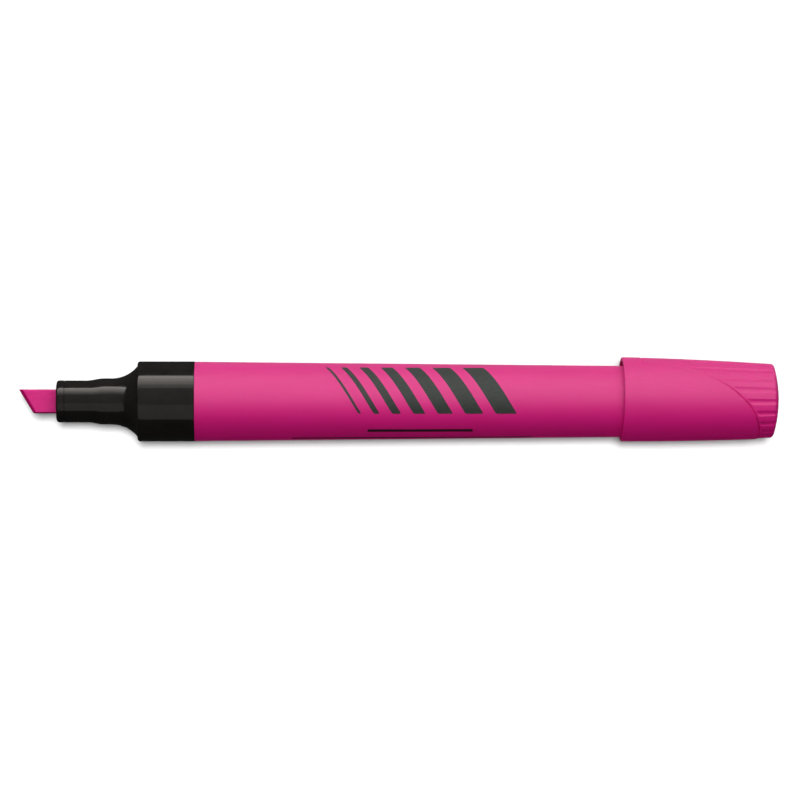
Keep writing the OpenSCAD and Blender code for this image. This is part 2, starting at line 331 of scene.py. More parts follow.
class Shader:
    """A node material with a principled shader, and short ways to feed it."""

    def __init__(self, name):
        self.material = bpy.data.materials.new(name)
        self.material.use_nodes = True
        self.tree = self.material.node_tree
        self.bsdf = self.tree.nodes["Principled BSDF"]
        self.place = self.node("ShaderNodeTexCoord").outputs["Object"]

    def feed(self, socket, value):
        """Links another node's output to a socket, or sets the socket to a plain value."""
        if isinstance(value, bpy.types.NodeSocket):
            self.tree.links.new(value, socket)
        else:
            socket.default_value = value

    def node(self, kind, inputs=(), **settings):
        """Adds a node, with its inputs by name or number and its other settings by name."""
        node = self.tree.nodes.new(kind)
        for key, value in settings.items():
            setattr(node, key, value)
        for key, value in dict(inputs).items():
            self.feed(node.inputs[key], value)
        return node

    def set(self, **values):
        """Feeds the principled shader's inputs, with _ for each space in their names."""
        for key, value in values.items():
            self.feed(self.bsdf.inputs[key.replace("_", " ")], value)

    def maths(self, operation, *values):
        """The result of a Math node."""
        return self.node("ShaderNodeMath", dict(enumerate(values)), operation=operation).outputs[0]

    def grain(self, size, stretch=(1, 1, 1), detail=3.0, roughness=0.55):
        """Noise from 0 to 1. Its features are about size millimetres across, times the stretch
        along each axis."""
        scale = [1 / (size * MM * s) for s in stretch]
        mapping = self.node("ShaderNodeMapping", {"Vector": self.place, "Scale": scale})
        made = self.node("ShaderNodeTexNoise", {"Vector": mapping.outputs[0], "Scale": 1.0,
                                                "Detail": detail, "Roughness": roughness})
        return made.outputs["Fac"]

    def levels(self, value, low, high, to_low=0.0, to_high=1.0):
        """Carries the range from low to high over to another range, and holds it at the ends."""
        made = self.node("ShaderNodeMapRange", {"Value": value, "From Min": low, "From Max": high,
                                                "To Min": to_low, "To Max": to_high})
        return made.outputs["Result"]

    def blend(self, share, a, b):
        """Mixes two colours: a where the share is 0 and b where it is 1."""
        made = self.node("ShaderNodeMix", {0: share}, data_type="RGBA")
        for index, colour in ((MIX_A, a), (MIX_B, b)):
            linked = isinstance(colour, bpy.types.NodeSocket)
            self.feed(made.inputs[index], colour if linked else (*colour, 1))
        return made.outputs[MIX_RESULT]

    def worn_edges(self, low, high, patches):
        """1 on patches of outward edges and 0 elsewhere, from how the surface bends."""
        point = self.node("ShaderNodeNewGeometry").outputs["Pointiness"]
        return self.maths("MULTIPLY", self.levels(point, low, high), patches)

    def relief(self, height, depth, over=None):
        """A bump of a depth in millimetres, laid over another bump."""
        inputs = {"Height": height, "Strength": 1.0, "Distance": depth * MM}
        if over is not None:
            inputs["Normal"] = over
        return self.node("ShaderNodeBump", inputs).outputs["Normal"]


def pink_plastic(name, roughness):
    """Satin polypropylene, with flow mottle, faint draw lines and paler edges."""
    s = Shader(name)
    mottle = s.levels(s.grain(6.0, (3, 1, 1)), 0.3, 0.7)
    wear = s.worn_edges(0.56, 0.66, s.levels(s.grain(0.8), 0.35, 0.6))
    peel = s.relief(s.grain(0.35, detail=2.0), 0.0012)
    s.set(Base_Color=s.blend(wear, s.blend(mottle, PINK, PINK_DEEP), PINK_EDGE),
          Roughness=s.levels(s.grain(1.2, (4, 1, 1)), 0.2, 0.8, roughness - 0.04, roughness + 0.05),
          Normal=s.relief(s.grain(0.5, (30, 1, 1)), 0.0015, peel),
          IOR=1.5, Specular_IOR_Level=1.0)
    return s.material


def black_plastic():
    """Polished black plastic with hair-fine handling marks."""
    s = Shader("black_gloss_plastic")
    base = s.blend(s.levels(s.grain(4.0), 0.35, 0.65), BLACK, BLACK_SOFT)
    wear = s.worn_edges(0.52, 0.62, s.levels(s.grain(0.6), 0.4, 0.65))
    s.set(Base_Color=s.blend(wear, base, BLACK_WORN),
          Roughness=s.levels(s.grain(0.9, (1, 5, 5)), 0.3, 0.8, 0.07, 0.15),
          Normal=s.relief(s.grain(2.5, (2, 1, 1), detail=1.0), 0.0025), IOR=1.52)
    return s.material


def nib_painted_shade_masks(s):
    """Two shares for painted shade: one that is 1 on the nib's bevel, and one that is 1 along its
    lower side.
    """
    corner = on_pen(NIB_POINT, NIB_WIDTH / 2, 0)
    lean = NIB_SLANT / NIB_WIDTH
    place = s.node("ShaderNodeSeparateXYZ", {0: s.place}).outputs
    slid = s.maths("MULTIPLY_ADD", place["Y"], lean, -corner.x - lean * corner.y)
    setback = s.maths("ADD", place["X"], slid)
    start, end = [(BEVEL_RUN + fade) * MM for fade in BEVEL_PAINTED_SHADE]
    bevel = s.levels(setback, start, end, 1.0, 0.0)
    start, end = [corner.y - NIB_WIDTH * MM + fade * MM for fade in SIDE_PAINTED_SHADE]
    side = s.levels(place["Y"], start, end, 1.0, 0.0)
    return bevel, side


def nib_felt():
    """Bonded fibre soaked in ink: streaks along the nib, darker where the ink gathers, with painted
    shade on the bevel and along the lower side.
    """
    s = Shader("nib_felt_fibre")
    bevel, side = nib_painted_shade_masks(s)
    # Painted shade: 1 on the bevel and along the lower side, where shade falls.
    painted_shade = s.maths("MAXIMUM", bevel, side)
    streaks = s.grain(0.10, (14, 1, 1), detail=4.0)
    base = s.blend(s.levels(streaks, 0.3, 0.7), FELT, FELT_STREAK)
    pooled = s.blend(s.levels(s.grain(1.1), 0.55, 0.75, 0.0, 0.45), base, FELT_POOL)
    fibres = s.relief(streaks, 0.012)
    # Painted shade darkens the felt on the bevel, and more along its lower side. It also lowers the
    # felt's reflections there.
    s.set(Base_Color=s.blend(side, s.blend(painted_shade, pooled, FELT_PAINTED_SHADE), FELT_PAINTED_SIDE_SHADE),
          Roughness=s.levels(streaks, 0.2, 0.8, 0.62, 0.82),
          Normal=s.relief(s.grain(0.07, detail=2.0), 0.006, fibres), IOR=1.4,
          Specular_IOR_Level=s.levels(painted_shade, 0, 1, 1.0, 0.15),
          Sheen_Weight=0.05, Sheen_Roughness=0.4)
    return s.material


def print_ink(name, tone):
    """Pad-printed ink with slightly starved patches."""
    s = Shader(name)
    patches = s.levels(s.grain(0.5, detail=4.0), 0.35, 0.7)
    s.set(Base_Color=s.blend(patches, tone, [0.75 * c for c in tone]),
          Roughness=s.levels(s.grain(0.3), 0.3, 0.7, 0.50, 0.62),
          Normal=s.relief(s.grain(0.2, detail=2.0), 0.0015), IOR=1.45)
    return s.material


def pale_plastic():
    """Unpigmented polyethylene, a little cloudy."""
    s = Shader("natural_polyethylene")
    s.set(Base_Color=s.blend(s.levels(s.grain(3.0), 0.3, 0.7), NATURAL, NATURAL_CLOUD),
          Roughness=s.levels(s.grain(0.7), 0.3, 0.7, 0.38, 0.5),
          Normal=s.relief(s.grain(0.4), 0.002), IOR=1.5)
    return s.material


def reservoir_fibre():
    """A soft bundle of fibres full of pink ink."""
    s = Shader("reservoir_fibre")
    streaks = s.grain(0.15, (30, 1, 1), detail=4.0)
    s.set(Base_Color=s.blend(streaks, FIBRE, FIBRE_STREAK),
          Roughness=s.levels(streaks, 0.2, 0.8, 0.75, 0.95), Normal=s.relief(streaks, 0.03))
    return s.material


def film():
    """Thin clear-white film, wrapped and slightly wrinkled."""
    s = Shader("wrap_film")
    wrinkles = s.grain(2.0, (6, 1, 1))
    s.set(Base_Color=s.blend(wrinkles, FILM, FILM_WRINKLE),
          Roughness=s.levels(wrinkles, 0.3, 0.7, 0.15, 0.3), Normal=s.relief(wrinkles, 0.02))
    return s.material


# ---------------------------------------------------------------- barrel

def barrel_r(x):
    """Radius of the barrel's skin at a station."""
    return MOUTH_R + (TAIL_R - MOUTH_R) * (x - COLLAR_END) / (TAIL_END - COLLAR_END)


def make_barrel():
    """The tube. Its profile runs from the inside of the closed tail forward to the mouth, and
    back along the outside."""
    inner_end = TAIL_END - TAIL_WALL
    dish = TAIL_END - DISH_DEPTH
    corners = [
        (inner_end, 0, 0),
        (inner_end, barrel_r(inner_end) - BARREL_WALL, 0.4),
        (SKIRT_END + 0.4, barrel_r(SKIRT_END) - BARREL_WALL, 0.2),
        (SKIRT_END + 0.05, SKIRT_R + SKIRT_GAP, 0.1),
        (COLLAR_END, SKIRT_R + SKIRT_GAP, 0.05),
        (COLLAR_END, MOUTH_R, MOUTH_EDGE),
        (TAIL_END, TAIL_R, TAIL_EDGE),
        (TAIL_END, DISH_R, 0.15),
        (dish, DISH_R - DISH_SLOPE, 0.15),
        (dish, GATE_R + GATE_SLOPE, 0.06),
        (dish + GATE_RISE, GATE_R, 0.05),
        (dish + GATE_RISE, 0, 0),
    ]
    return turned("barrel_tube", rounded(corners), on_pen, segments=192)


# ---------------------------------------------------------------- nose section

def slot_reach(angle, gap):
    """Distance from the axis to the edge of the nib's slot in a direction.

    The slot is a rounded rectangle with a round air vent in each long side."""
    half = Vector((NIB_WIDTH / 2 + gap, NIB_THICKNESS / 2 + gap))
    way = Vector((math.cos(angle), math.sin(angle)))
    reach = min(half.x / max(1e-9, abs(way.x)), half.y / max(1e-9, abs(way.y)))
    corner = half - Vector((SLOT_CORNER_R, SLOT_CORNER_R))
    hit = Vector((abs(way.x), abs(way.y))) * reach
    if hit.x > corner.x and hit.y > corner.y:
        along = abs(way.x) * corner.x + abs(way.y) * corner.y
        off = corner.length_squared - along ** 2
        reach = along + math.sqrt(max(0, SLOT_CORNER_R ** 2 - off))
    vent = NIB_THICKNESS / 2
    off = vent * abs(way.x)
    if off < VENT_R:
        reach = max(reach, vent * abs(way.y) + math.sqrt(VENT_R ** 2 - off ** 2))
    return reach


def nose_front():
    """Corners of the front face, the ring behind it and the groove behind the ring."""
    ring_end = NOSE_FRONT + RING_LENGTH
    groove_r = NECK_R - GROOVE_DEPTH
    return [(NOSE_FRONT, FACE_R, 0), (NOSE_FRONT, NECK_R, NOSE_EDGE),
            (ring_end, NECK_R, RING_CORNER), (ring_end + GROOVE_SLOPE, groove_r, RING_CORNER),
            (ring_end + GROOVE_WIDTH - GROOVE_SLOPE, groove_r, RING_CORNER),
            (ring_end + GROOVE_WIDTH, NECK_R - RING_RAISED, RING_CORNER)]


def nose_rise(steps=40):
    """Points of the curve from the neck up to the sealing band, and of the arc of the flare."""
    neck_r = NECK_R - RING_RAISED
    neck_end = NOSE_FRONT + NECK_LENGTH
    flare_start = neck_end + RISE_LENGTH + SEAL_LENGTH
    rise, flare = [], []
    for t in range(steps + 1):
        share = t / steps
        run = FLARE_LENGTH * t / steps
        rise.append((neck_end + RISE_LENGTH * t / steps,
                     neck_r + (SEAL_R - neck_r) * smooth_step(share), 0))
        flare.append((flare_start + run,
                      SEAL_R + FLARE_ARC_R - math.sqrt(FLARE_ARC_R ** 2 - run ** 2), 0))
    return rise + flare


def nose_back():
    """Corners of the collar, the skirt in the barrel's mouth, and the chamber behind the slot."""
    shoulder = NOSE_FRONT + NECK_LENGTH + RISE_LENGTH + SEAL_LENGTH + FLARE_LENGTH
    return [(shoulder, COLLAR_R, COLLAR_EDGE), (COLLAR_END, COLLAR_R, MOUTH_EDGE),
            (COLLAR_END, SKIRT_R - SKIRT_GAP, 0.05), (SKIRT_END, SKIRT_R - SKIRT_GAP, 0.3),
            (SKIRT_END, SKIRT_BORE_R, 0.1), (COLLAR_END - SKIRT_BORE_STOP, SKIRT_BORE_R, 0.1),
            (COLLAR_END - SKIRT_BORE_STOP - CHAMBER_SLOPE, CHAMBER_R, 0.1),
            (NOSE_FRONT + SLOT_LENGTH, CHAMBER_R, 0)]


def make_nose(segments=240):
    """The nose's outside and chamber, closed by its slot, which runs forward to the front face."""
    angles = round_angles(segments)
    profile = rounded(nose_front() + nose_rise() + nose_back(), step=1.0)
    rings = [round_ring(on_pen, x, r, angles) for x, r in profile]
    for depth, widening in SLOT_RINGS:
        gap = SLOT_GAP + widening
        reach = [min(slot_reach(a, gap), CHAMBER_R - SLOT_MARGIN) for a in angles]
        rings.append([on_pen(NOSE_FRONT + depth, r * math.cos(a), r * math.sin(a))
                      for r, a in zip(reach, angles)])
    points, faces = skin(rings, loop=True)
    return finish_mesh("nose_body", points, faces)


# ---------------------------------------------------------------- nib

def nib_section(half_t, half_w, corner, count):
    """Points (y, z) round the nib: four sides with round corners, evenly spread."""
    straight = [2 * (half_w - corner), 2 * (half_t - corner)]
    quarter = math.pi * corner / 2
    total = 2 * sum(straight) + 4 * quarter
    points = []
    for i in range(count):
        at = i / count * total
        for turn, (right, up) in enumerate(((1, 1), (-1, 1), (-1, -1), (1, -1))):
            run = straight[turn % 2]
            way = Matrix.Rotation(turn * math.pi / 2, 2)
            middle = Vector((right * (half_w - corner), up * (half_t - corner)))
            if at < quarter:
                a = at / corner
                points.append(middle + way @ (Vector((math.cos(a), math.sin(a))) * corner))
                break
            at -= quarter
            if at < run:
                points.append(middle + way @ Vector((0, corner)) + way @ Vector((-at, 0)))
                break
            at -= run
    return points


def nib_setbacks(bevel):
    """Distances of the rings from the slanted edge: close at the rounded writing edge, over the
    bevel and just behind it, and then evenly spread."""
    setbacks = [0.0, 0.015, 0.05, WRITING_EDGE] + [bevel * t / 8 for t in range(2, 9)]
    setbacks += [bevel + d for d in (0.06, 0.14, 0.3)]
    return setbacks + [bevel + 0.3 + 0.35 * k for k in range(1, 30)]


def fibre_height(x, y, z):
    """How far the felt's fibres stand out at a place: long streaks and shorter ones, which fade
    out as the bar goes into the slot."""
    rough = FIBRE_DEPTH * noise.noise(Vector((x * 0.25, y * 7, z * 7)))
    rough += 0.5 * FIBRE_DEPTH * noise.noise(Vector((x * 2.5, y * 9, z * 9)))
    return rough * smooth_step((NOSE_FRONT + SLOT_LENGTH - 1.5 - x) / 2)


def slanted_ring(back, bevel, half_w, half_t, count):
    """The ring at a setback from the slanted edge, thinned by the bevel and rounded at the
    writing edge."""
    drop = BEVEL_DROP * max(0, 1 - back / bevel)
    soft = BEVEL_SOFT * max(0, 1 - abs(back - bevel) / BEVEL_SOFT_RUN) ** 2
    crown = WRITING_CROWN * max(0, 1 - back / WRITING_EDGE) ** 2
    thick = max(half_t - BEVEL_DROP - crown, half_t - drop - soft - crown)
    wide = half_w - crown * CROWN_SIDE_SHARE
    corner = min(NIB_CORNER_R, thick * NIB_CORNER_SHARE)
    ring = []
    for p in nib_section(thick, wide, corner, count):
        slant = NIB_SLANT * (half_w - p.x) / (2 * half_w)
        x = NIB_POINT + back + slant * max(0, 1 - back / SLANT_FADE)
        p = p + p.normalized() * (fibre_height(x, p.x, p.y) - FIBRE_SINK)
        ring.append(on_pen(x, p.x, p.y))
    return ring


def make_nib(count=176):
    """The felt bar, from its bevelled writing edge to its plain end in the reservoir."""
    half_w, half_t = NIB_WIDTH / 2 - NIB_GAP, NIB_THICKNESS / 2 - NIB_GAP
    bevel = BEVEL_RUN / math.cos(math.atan(NIB_SLANT / NIB_WIDTH))
    rings = [slanted_ring(back, bevel, half_w, half_t, count) for back in nib_setbacks(bevel)]
    # The hidden stretch behind is plain.
    for x in (NOSE_FRONT + 12, NOSE_FRONT + 22, NIB_END - 0.4, NIB_END):
        inset = NIB_END_EDGE if x == NIB_END else 0
        section = nib_section(half_t - inset, half_w - inset, NIB_CORNER_R - inset, count)
        rings.append([on_pen(x, p.x, p.y) for p in section])
    front = sum(rings[0], Vector()) / count
    points, faces = skin(rings, front, on_pen(NIB_END, 0, 0))
    return finish_mesh("nib_felt", points, faces, crease=55)


# ---------------------------------------------------------------- cap

def cap_skin_r(x):
    """Radius of the cap's smooth skin at a distance from its rim."""
    return CAP_RIM_R - (CAP_RIM_R - CAP_END_R) * (max(0, x) / CAP_LENGTH) ** CAP_BOW


def land_r(x):
    """Radius of the lands between the flutes."""
    share = max(0, x - TONGUE_START) / (CAP_LENGTH - TONGUE_START)
    return cap_skin_r(x) - LAND_STEP - LAND_SINK * share ** LAND_BOW


def flute_centre(x):
    """Radius at which the round cutter of a flute is centred."""
    share = (x - TONGUE_START) / (CAP_LENGTH - TONGUE_START)
    floor_r = FLUTE_FLOOR_START_R + (FLUTE_FLOOR_END_R - FLUTE_FLOOR_START_R) * share
    return floor_r + FLUTE_R


def flute_half_angle(x):
    """Half of the angle that a flute takes at the lands' radius."""
    land, centre = land_r(x), flute_centre(x)
    half = math.acos(min(1, (land ** 2 + centre ** 2 - FLUTE_R ** 2) / (2 * land * centre)))
    return max(half, FLUTE_LEAST_ANGLE)


def fluted_r(off, x):
    """Radius of the fluted surface at an angle off from a flute's middle, with soft edges."""
    land, centre = land_r(x), flute_centre(x)
    inside = FLUTE_R ** 2 - (centre * math.sin(off)) ** 2
    if inside <= 0:
        return land
    groove = centre * math.cos(off) - math.sqrt(inside)
    near = max(FLUTE_SOFT - abs(land - groove), 0) / FLUTE_SOFT
    return min(land, groove) - near * near * FLUTE_SOFT / 4


def tongue_end(y):
    """How far from the rim the tongue reaches at a height across the cap, and how many times
    longer a step along the cap is than the same step straight across the tongue's edge."""
    if y < TONGUE_CENTRE_Y:
        return TONGUE_START + TONGUE_LENGTH, 1
    share = (y - TONGUE_CENTRE_Y) / TONGUE_HEIGHT
    if share >= 1:
        return TONGUE_START, 1
    root = math.sqrt(1 - share ** 2)
    slope = TONGUE_LENGTH / TONGUE_HEIGHT * share / root
    return TONGUE_START + TONGUE_LENGTH * root, min(STRETCH_LIMIT, math.hypot(1, slope))


# A column is a line of points along the cap's side: where its flute is, its shares of the half of
# the groove and of the land beside it, where the tongue ends on it, and the stretch there.
Column = namedtuple("Column", "turn groove land end stretch")
GROOVE_SHARES = (0.25, 0.5, 0.7, 0.85, 0.94, 1.0)
LAND_SHARES = (0.07, 0.2, 0.5)


def column_shares():
    """(share of the groove, share of the land) for each column from one land to the next."""
    side = [(g, 0) for g in GROOVE_SHARES] + [(1, l) for l in LAND_SHARES]
    left = [(-g, -l) for g, l in reversed(side)]
    return [(-1, -1)] + left + [(0, 0)] + side


def column_angle(groove, land, x):
    """Angle of a column off its flute's middle. It keeps its shares as the flutes widen."""
    half = flute_half_angle(x)
    return groove * half + land * (math.pi / FLUTES - half)


def cap_columns():
    """Every column round the cap."""
    columns = []
    for k in range(FLUTES):
        turn = 2 * math.pi * k / FLUTES + FLUTE_TURN
        for groove, land in column_shares():
            # A column isn't straight, so where the tongue ends on it is found in steps from a guess.
            x, stretch = TONGUE_GUESS, 1
            for _ in range(TONGUE_PASSES):
                angle = turn + column_angle(groove, land, max(x, FLUTE_FRONT))
                end, stretch = tongue_end(cap_skin_r(x) * math.cos(angle))
                x = 0.5 * x + 0.5 * end
            columns.append(Column(turn, groove, land, x, stretch))
    return columns


def cap_side_point(column, x):
    """Angle and radius of a column of the cap's side at a distance from the rim."""
    off = column_angle(column.groove, column.land, max(x, column.end, FLUTE_FRONT))
    angle = column.turn + off
    past = (x - column.end) / column.stretch
    if past <= 0:
        return angle, cap_skin_r(x)
    # Down into the sunk line, up out of it to the lands, and then over into the flute.
    bottom = land_r(x) - LINE_DEPTH
    if past <= LINE_BOTTOM:
        share = past / LINE_BOTTOM
        return angle, cap_skin_r(x) * (1 - share) + bottom * share
    if past <= LINE_TOP:
        share = (past - LINE_BOTTOM) / (LINE_TOP - LINE_BOTTOM)
        return angle, bottom * (1 - share) + land_r(x) * share
    share = smooth_step((past - FLUTE_MARGIN) / FLUTE_RUN_IN)
    return angle, land_r(x) * (1 - share) + fluted_r(off, x) * share


def cap_ring(points):
    """A ring in the frame from an (x, angle, radius) for each column."""
    return [on_cap(x, r * math.cos(a), r * math.sin(a)) for x, a, r in points]


def plain_rings(columns, corners, step):
    """Round rings along a rounded profile, without its two ends."""
    angles = [cap_side_point(column, 0)[0] for column in columns]
    return [cap_ring((x, a, r) for a in angles) for x, r in rounded(corners, step)[1:-1]]


def line_crossings():
    """Distances across the tongue's edge of the rows over the sunk line and the flutes' run-in."""
    line = [-0.25, -0.08, -LINE_CORNER, 0, LINE_BOTTOM / 2, LINE_BOTTOM, LINE_BOTTOM + LINE_CORNER,
            (LINE_BOTTOM + LINE_TOP) / 2, LINE_TOP - LINE_CORNER, LINE_TOP, LINE_TOP + LINE_CORNER,
            FLUTE_MARGIN - LINE_CORNER]
    run_in = [FLUTE_MARGIN + FLUTE_RUN_IN * t / 5 for t in range(6)]
    return line + run_in + [FLUTE_MARGIN + FLUTE_RUN_IN + 0.04]


def side_rings(columns, before=24, after=40):
    """The cap's side: even rows up to the tongue's edge, close rows across the line and the
    flutes' run-in, and even rows up to the rounded edge of the cap's end."""
    def row(stations):
        return cap_ring((x, *cap_side_point(column, x)) for column, x in zip(columns, stations))

    def crossed(distance):
        return [column.end + distance * column.stretch for column in columns]

    crossings = line_crossings()
    last_x = CAP_LENGTH - CAP_EDGE
    rings = [row([RIM_BAND + (x - RIM_BAND) * k / before for x in crossed(crossings[0])])
             for k in range(before)]
    rings += [row(crossed(distance)) for distance in crossings]
    rings += [row([x + (last_x - x) * k / after for x in crossed(crossings[-1])])
              for k in range(1, after + 1)]
    return rings


def dome_x(r):
    """How far from the rim the domed end is at a radius."""
    share = max(0, r - DOME_FLAT_R) / (CAP_END_R - DOME_FLAT_R)
    return CAP_LENGTH + CAP_DOME * (1 - share ** 2)


def end_rings(columns, steps=12):
    """The rounded edge, which the flutes run through, and the shallow dome."""
    last_x = CAP_LENGTH - CAP_EDGE
    side = [cap_side_point(column, last_x) for column in columns]
    rings = []
    for degrees in (15, 30, 45, 60, 75):
        turn = math.radians(degrees)
        x = last_x + CAP_EDGE * math.sin(turn)
        rings.append(cap_ring((x, a, r - CAP_EDGE * (1 - math.cos(turn))) for a, r in side))
    for t in range(steps + 1):
        radii = [(r - CAP_EDGE - DOME_INSET) * (1 - t / steps) + DOME_FLAT_R * t / steps
                 for _, r in side]
        rings.append(cap_ring((dome_x(r), a, r) for (a, _), r in zip(side, radii)))
    return rings


def make_cap():
    """The shell, from the inside of its end, out round its rim, along its side and over its end."""
    columns = cap_columns()
    inner_end = CAP_LENGTH - END_WALL
    top = CAP_LENGTH + CAP_DOME
    dimple = top - DIMPLE_DEPTH
    nub = top - NUB_DEPTH
    inside = [(inner_end, 0, 0), (inner_end, INNER_END_R, 0.5), (LEDGE, LEDGE_R, 0.04),
              (LEDGE, BORE_R, 0.04), (0, BORE_R, 0.08), (0, cap_skin_r(0), RIM_EDGE),
              (RIM_BAND, cap_skin_r(RIM_BAND), 0)]
    gate = [(top, DOME_FLAT_R, 0), (top, DIMPLE_R, 0.04), (dimple, DIMPLE_FLOOR_R, 0.04),
            (dimple, NUB_R, 0.04), (nub, NUB_TOP_R, 0.04), (nub, 0, 0)]
    rings = plain_rings(columns, inside, step=2.0)
    rings += side_rings(columns) + end_rings(columns)
    rings += plain_rings(columns, gate, step=1.5)
    points, faces = skin(rings, on_cap(inner_end, 0, 0), on_cap(nub, 0, 0))
    return finish_mesh("cap_body", points, faces)


def make_liner():
    """The soft sealing sleeve in the cap, with a lip at its mouth."""
    mouth = LINER_MOUTH + LINER_GAP
    end = mouth + LINER_LENGTH
    outer_r = LINER_BORE_R + LINER_WALL
    corners = [
        (end - LINER_WALL, 0, 0),
        (end - LINER_WALL, LINER_BORE_R - LINER_FLOOR_STEP, 0.2),
        (end - LINER_WALL - LINER_FLOOR_RUN, LINER_BORE_R, 0.2),
        (mouth + LINER_LEAD, LINER_BORE_R, 0.2),
        (mouth + LINER_GAP, LINER_BORE_R + LINER_LIP, 0.08),
        (mouth + LINER_GAP, LINER_FLANGE_R, 0.12),
        (mouth + LINER_FLANGE, LINER_FLANGE_R, 0.12),
        (mouth + LINER_FLANGE, outer_r, 0.15),
        (end - LINER_TAPER, outer_r, 0.3),
        (end, LINER_BORE_R, 0.3),
        (end, 0, 0),
    ]
    return turned("liner_sleeve", rounded(corners), on_cap, segments=128)


# ---------------------------------------------------------------- print

def patch_layer(middle, length, around, width, lean, lift, rows, columns):
    """A grid of points over one patch at a lift from the barrel's skin, with round corners."""
    # Two corners take up just under the whole of a side at most.
    corner = min(PRINT_CORNER, width / 2.01, length / 2.01)
    grid = []
    for j in range(rows + 1):
        v = math.sin((j / rows - 0.5) * math.pi) * width / 2
        past = max(0, abs(v) - (width / 2 - corner))
        inset = corner - math.sqrt(max(0, corner ** 2 - past ** 2))
        for i in range(columns + 1):
            x = middle + lean * v + (i / columns - 0.5) * (length - 2 * inset)
            r = barrel_r(x)
            a = (around + v) / r
            grid.append(on_pen(x, (r + lift) * math.sin(a), (r + lift) * math.cos(a)))
    return grid


def print_patch(middle, length, around, width, lean=0):
    """Points and faces of one thin patch of ink that follows the barrel."""
    rows, columns = PRINT_ROWS, max(4, round(length / PRINT_COLUMN))
    outer, inner = [patch_layer(middle, length, around, width, lean, lift, rows, columns)
                    for lift in (PRINT_THICKNESS, -PRINT_SUNK)]
    wide, total = columns + 1, len(outer)
    faces = []
    for j in range(rows):
        for i in range(columns):
            a = j * wide + i
            faces.append((a, a + 1, a + wide + 1, a + wide))
            faces.append((total + a, total + a + wide, total + a + wide + 1, total + a + 1))
    border = list(range(wide))
    border += [j * wide + columns for j in range(1, rows + 1)]
    border += [rows * wide + i for i in range(columns - 1, -1, -1)]
    border += [j * wide for j in range(rows - 1, 0, -1)]
    for a, b in zip(border, border[1:] + border[:1]):
        faces.append((a, total + a, total + b, b))
    return outer + inner, faces


def make_print(name, patches):
    """One piece of ink from several patches."""
    points, faces = [], []
    for patch in patches:
        more, sides = print_patch(*patch)
        faces += [tuple(len(points) + v for v in face) for face in sides]
        points += more
    return finish_mesh(name, points, faces)


def strokes():
    """Slanted strokes in a row, each wider than the last."""
    x = STROKES_START
    for k in range(1, STROKES + 1):
        width = k * STROKE_STEP
        yield x + width / 2, width, STROKES_AROUND, STROKES_HEIGHT, STROKE_LEAN
        x += width + STROKE_GAP


# ---------------------------------------------------------------- assembly

def dress(piece, material, body, slot, *nodes):
    """Gives a piece its material and its body, and hides the CAD nodes that it stands for. The slot
    argument is not used.
    """
    piece.data.materials.clear()
    piece.data.materials.append(material)
    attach(piece, body)
    if nodes:
        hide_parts(*nodes)


pink_barrel = pink_plastic("pink_barrel_plastic", roughness=0.59)
pink_cap = pink_plastic("pink_cap_plastic", roughness=0.58)

dress(make_barrel(), pink_barrel, "pen", "barrel_plastic", "barrel")
dress(make_nose(), black_plastic(), "pen", "nose_plastic", "nose_section")
dress(make_nib(), nib_felt(), "pen", "nib_felt", "nib")
dress(make_print("print_strokes", strokes()), print_ink("print_grey", PRINT_GREY),
      "pen", "barrel_plastic")
dress(make_print("print_rules", PRINT_RULES), print_ink("print_black", PRINT_BLACK),
      "pen", "barrel_plastic")
dress(make_liner(), pale_plastic(), "cap_sleeve", "liner_plastic", "cap_liner")
dress(make_cap(), pink_cap, "cap", "cap_plastic", "cap_shell")

# The reservoir and its film keep their CAD shapes.
for node_name, node_material in (("ink_reservoir", reservoir_fibre()), ("reservoir_wrap", film())):
    node = frame["nodes"][node_name]
    node.data.materials.clear()
    node.data.materials.append(node_material)


# ---------------------------------------------------------------- floor, light and camera

# Lengths here are in metres. Angles are in degrees from the zenith towards +Y.
FLOOR_RINGS, STAGE_REACH, WALL_HEIGHT = (0.3, 1.0), 3.0, 3.0
FLOOR_TONE, FLOOR_GLOW = 0.30, 0.12
PANEL_DISTANCE, PANEL_LENGTH = 0.7, 1.6
CARD_LENGTH, CARD_HEIGHT = 0.4, 0.0004
WARM = (1.0, 0.94, 0.89)
WORLD_GLOW = 0.02
SUN_STRENGTH, SUN_SPREAD, SUN_TILT, SUN_DISTANCE = 10.4, 15, 6, 1.5
# The camera is this high above what it aims at and this far along the pen from it, and its view
# is about this wide there. CAMERA_AIM is measured from the pen's axis at the frame's origin.
CAMERA_HEIGHT, CAMERA_ASIDE, VIEW_WIDTH = 740 * MM, -23.6 * MM, 160 * MM
CAMERA_AIM = Vector((0.135, 0.28, 0)) * MM
SENSOR_WIDTH = 36


def pale_floor():
    """A matt floor that glows a little."""
    s = Shader("pale_floor")
    s.set(Base_Color=(FLOOR_TONE, FLOOR_TONE, FLOOR_TONE, 1), Roughness=0.9,
          Emission_Color=WHITE, Emission_Strength=FLOOR_GLOW, Specular_IOR_Level=0.0)
    return s.material


def pale_backdrop():
    """A wall that is evenly bright and takes no light."""
    s = Shader("pale_backdrop")
    s.set(Base_Color=(0, 0, 0, 1), Emission_Color=WHITE, Emission_Strength=1.0)
    return s.material


def stage_piece(name, profile, material, first_pole=None, last_pole=None, count=96):
    """A surface turned about the vertical from (r, z) points, closed at its pole."""
    turns = round_angles(count)
    rings = [[Vector((r * math.cos(a), r * math.sin(a), z)) for a in turns] for r, z in profile]
    points, faces = skin(rings, first_pole, last_pole)
    piece = finish_mesh(name, points, faces)
    piece.data.materials.append(material)
    piece.visible_glossy = piece.visible_diffuse = False
    return piece


